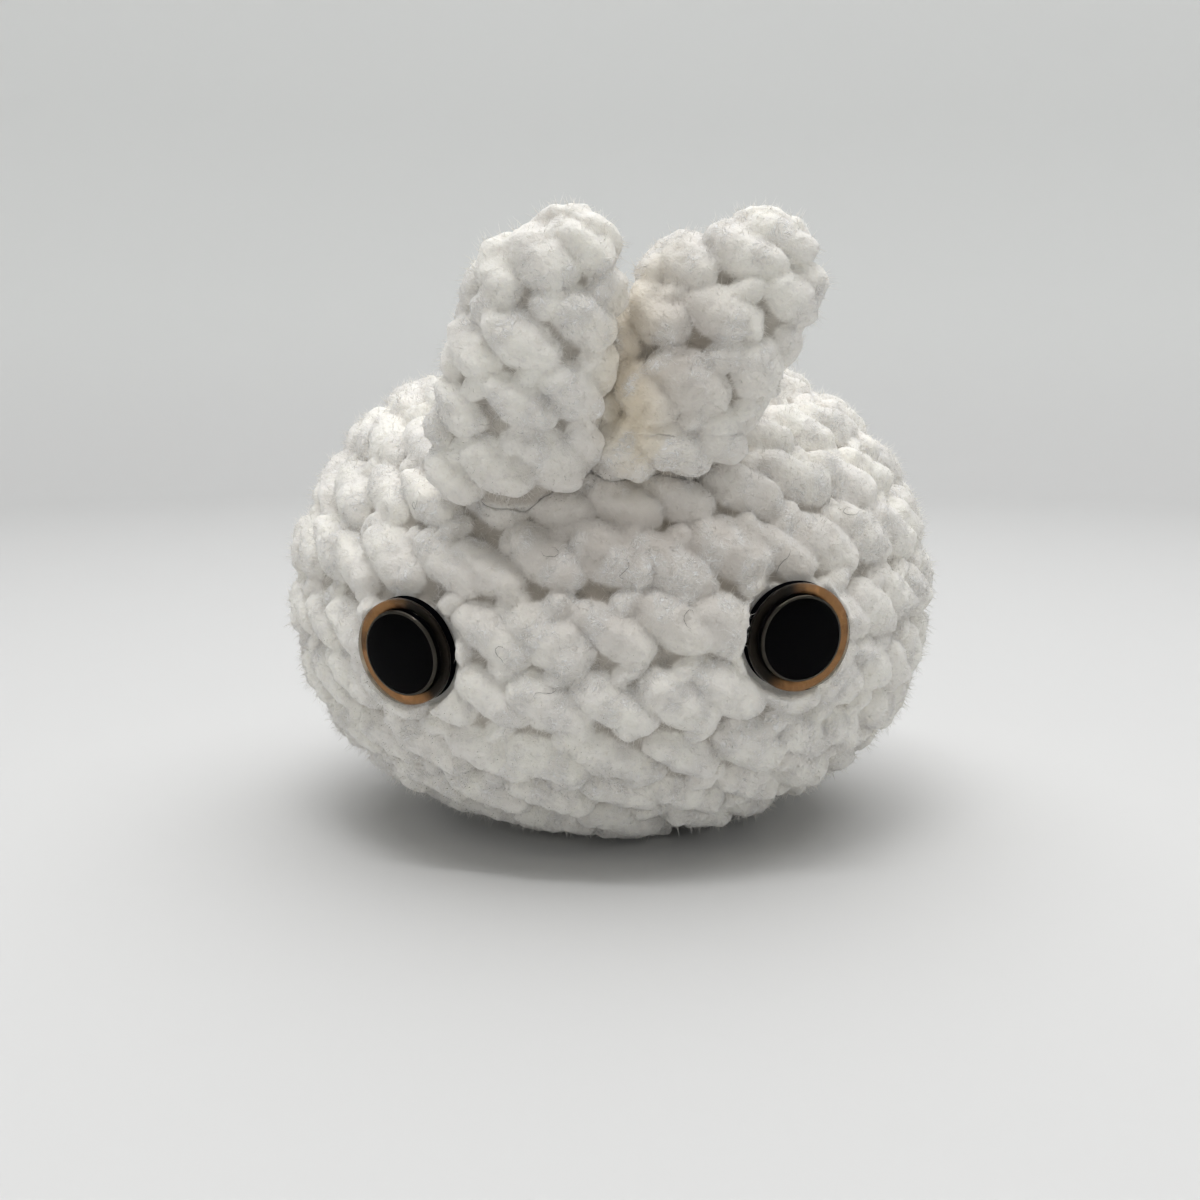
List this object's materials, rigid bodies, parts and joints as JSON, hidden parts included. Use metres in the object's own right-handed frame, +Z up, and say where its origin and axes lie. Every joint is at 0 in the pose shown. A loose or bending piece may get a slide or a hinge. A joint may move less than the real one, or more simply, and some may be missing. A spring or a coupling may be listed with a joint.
{
  "type": "crochet bunny",
  "caption": "Palm-sized stuffed bunny crocheted in thick white chenille yarn: squat round body, stubby upright ears, ball tail and amber safety eyes.",
  "frame": {"origin": "centre of the flat underside that the bunny sits on", "axes": "+Z up, -Y the way the face looks, +X to the right of someone facing it"},
  "size_m": [0.0798, 0.0985, 0.0751],
  "materials": {
    "chenille_yarn": "matte",
    "fibre_stuffing": "matte",
    "eye_lens": "gloss",
    "eye_iris": "gloss",
    "eye_black": "gloss",
    "eye_washer": "satin"
  },
  "bodies": {
    "body": {"body_shell": "chenille_yarn", "body_filling": "fibre_stuffing", "tail": "chenille_yarn"},
    "left_ear": {"left_ear": "chenille_yarn"},
    "right_ear": {"right_ear": "chenille_yarn"},
    "left_eye": {"left_eye_lens": "eye_lens", "left_eye_iris": "eye_iris", "left_eye_shank": "eye_black", "left_eye_washer": "eye_washer"},
    "right_eye": {"right_eye_lens": "eye_lens", "right_eye_iris": "eye_iris", "right_eye_shank": "eye_black", "right_eye_washer": "eye_washer"}
  },
  "joints": [
    {"name": "left_ear_bend", "type": "hinge", "parent": "body", "child": "left_ear", "pos_m": [-0.01116, -0.03519, 0.0471], "axis": [0.9744, -0.225, 0], "range_deg": [-8, 70], "stiffness_Nm_per_rad": 0.03},
    {"name": "right_ear_bend", "type": "hinge", "parent": "body", "child": "right_ear", "pos_m": [0.0058, -0.0336, 0.05049], "axis": [0.9925, 0.1219, 0], "range_deg": [-8, 70], "stiffness_Nm_per_rad": 0.03},
    {"name": "left_eye_twist", "type": "hinge", "parent": "body", "child": "left_eye", "pos_m": [-0.02199, -0.03106, 0.02635], "axis": [-0.5393, -0.8305, -0.1392], "continuous": true},
    {"name": "right_eye_twist", "type": "hinge", "parent": "body", "child": "right_eye", "pos_m": [0.01957, -0.03269, 0.0282], "axis": [0.3732, -0.9237, -0.0872], "continuous": true}
  ]
}
